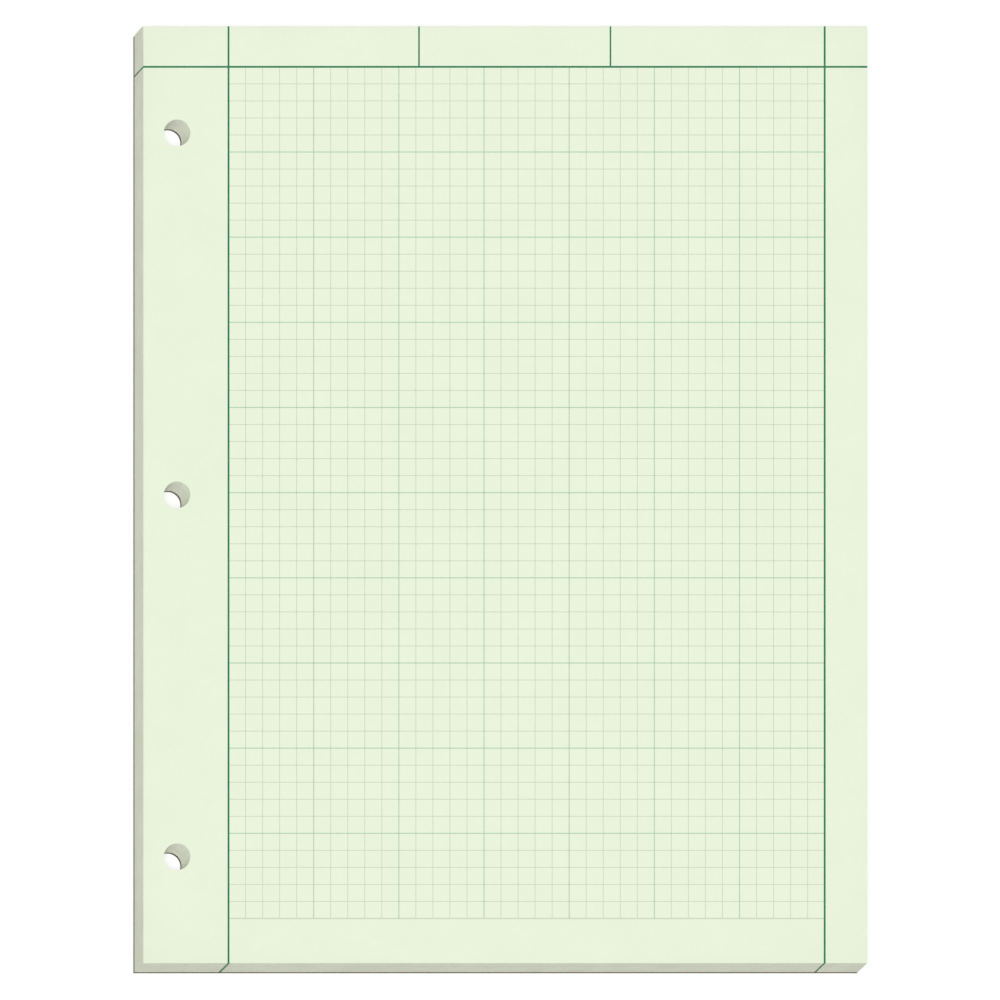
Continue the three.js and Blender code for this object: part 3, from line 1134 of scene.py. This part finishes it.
class PAD_OT_studio(bpy.types.Operator):
    """Lays the white floor and sets the lamp, the sky and the camera"""

    bl_idname = "pad.studio"
    bl_label = "Studio"

    def execute(self, context):
        studio = context.scene.pad_studio
        half = studio.floor_half
        low = -FLOOR_GAP
        corners = [(-half, -half, low), (half, -half, low), (half, half, low), (-half, half, low)]
        new_object("floor", corners, [(0, 1, 2, 3)], floor_material())
        self.light(context.scene, studio)
        self.aim(context.scene, studio)
        context.scene.view_settings.view_transform = "Standard"
        return {"FINISHED"}

    def light(self, scene, studio):
        """A pale sky, and a broad lamp behind the camera, so that what it sees of the holes is
        lit."""
        world = bpy.data.worlds.new("studio_sky")
        world.use_nodes = True
        tree = world.node_tree
        tree.nodes.clear()
        strength = ranged(tree, shown_white_mask(tree), 0.0, 1.0, studio.sky_strength, 1.0)
        sky = add(tree, "ShaderNodeBackground", {"Color": WHITE, "Strength": strength})
        add(tree, "ShaderNodeOutputWorld", {"Surface": sky.outputs["Background"]})
        scene.world = world
        lamp = bpy.data.lights.new("main_lamp", "SUN")
        lamp.energy = studio.lamp_strength
        lamp.angle = studio.lamp_softness
        holder = bpy.data.objects.new("main_lamp", lamp)
        towards_lamp = Vector((-studio.slant[0], -studio.slant[1], 1))
        holder.location = towards_lamp
        holder.rotation_euler = towards_lamp.to_track_quat("Z", "Y").to_euler()
        scene.collection.objects.link(holder)

    def aim(self, scene, studio):
        """The view is drawn obliquely: the face is square to it, and what lies lower slides to the
        lower left. A camera looking straight down is leant over by its rig, which slides it by its
        height over the face."""
        picture = SHEET_WIDTH * PICTURE_PIXELS / FACE_WIDTH_PIXELS
        pixel = picture / PICTURE_PIXELS
        centre_x = LEFT_EDGE + (PICTURE_PIXELS / 2 - FACE_LEFT_PIXEL) * pixel
        centre_y = GUMMED_EDGE - (PICTURE_PIXELS / 2 - FACE_TOP_PIXEL) * pixel
        camera = bpy.data.cameras.new("camera")
        camera.lens = studio.lens
        # the leaning makes a ray this much longer than it is high
        left, down = studio.slant
        lean = math.sqrt(1 + left**2 + down**2)
        height = picture * camera.lens / camera.sensor_width / lean
        # room enough before and behind the pad, also for a camera that is moved
        camera.clip_start = height / 100
        camera.clip_end = height * 10
        holder = bpy.data.objects.new("camera", camera)
        rig = bpy.data.objects.new("camera_rig", None)
        scene.collection.objects.link(rig)
        scene.collection.objects.link(holder)
        holder.parent = rig
        holder.matrix_parent_inverse = Matrix(
            (
                (1, 0, -left, left * FACE_HEIGHT),
                (0, 1, -down, down * FACE_HEIGHT),
                (0, 0, 1, 0),
                (0, 0, 0, 1),
            )
        )
        holder.location = (centre_x, centre_y, FACE_HEIGHT + height)
        scene.camera = holder


class PAD_PT_panel(bpy.types.Panel):
    """The pad's sizes, finishes and studio, and a button for each piece"""

    bl_label = "Computation pad"
    bl_idname = "PAD_PT_panel"
    bl_space_type = "VIEW_3D"
    bl_region_type = "UI"
    bl_category = "Pad"

    def draw(self, context):
        for group in SETTINGS:
            settings = getattr(context.scene, group)
            box = self.layout.box()
            for name in settings.__annotations__:
                box.prop(settings, name)
        for operator in OPERATORS:
            self.layout.operator(operator.bl_idname)


SETTINGS = {"pad_sizes": PadSizes, "pad_finishes": PadFinishes, "pad_studio": PadStudio}
OPERATORS = (
    PAD_OT_sheets,
    PAD_OT_rules,
    PAD_OT_grid,
    PAD_OT_board,
    PAD_OT_compound,
    PAD_OT_studio,
)
CLASSES = (*SETTINGS.values(), *OPERATORS, PAD_PT_panel)


def register():
    for each in CLASSES:
        bpy.utils.register_class(each)
    for name, settings in SETTINGS.items():
        setattr(bpy.types.Scene, name, PointerProperty(type=settings))


def unregister():
    for name in SETTINGS:
        delattr(bpy.types.Scene, name)
    for each in reversed(CLASSES):
        bpy.utils.unregister_class(each)


def main():
    register()
    fibre_group()
    leaf_tone_group()
    wear_and_shade_group()
    bpy.ops.pad.sheets()
    bpy.ops.pad.rules()
    bpy.ops.pad.grid()
    bpy.ops.pad.board()
    bpy.ops.pad.compound()
    bpy.ops.pad.studio()


if __name__ == "__main__":
    main()
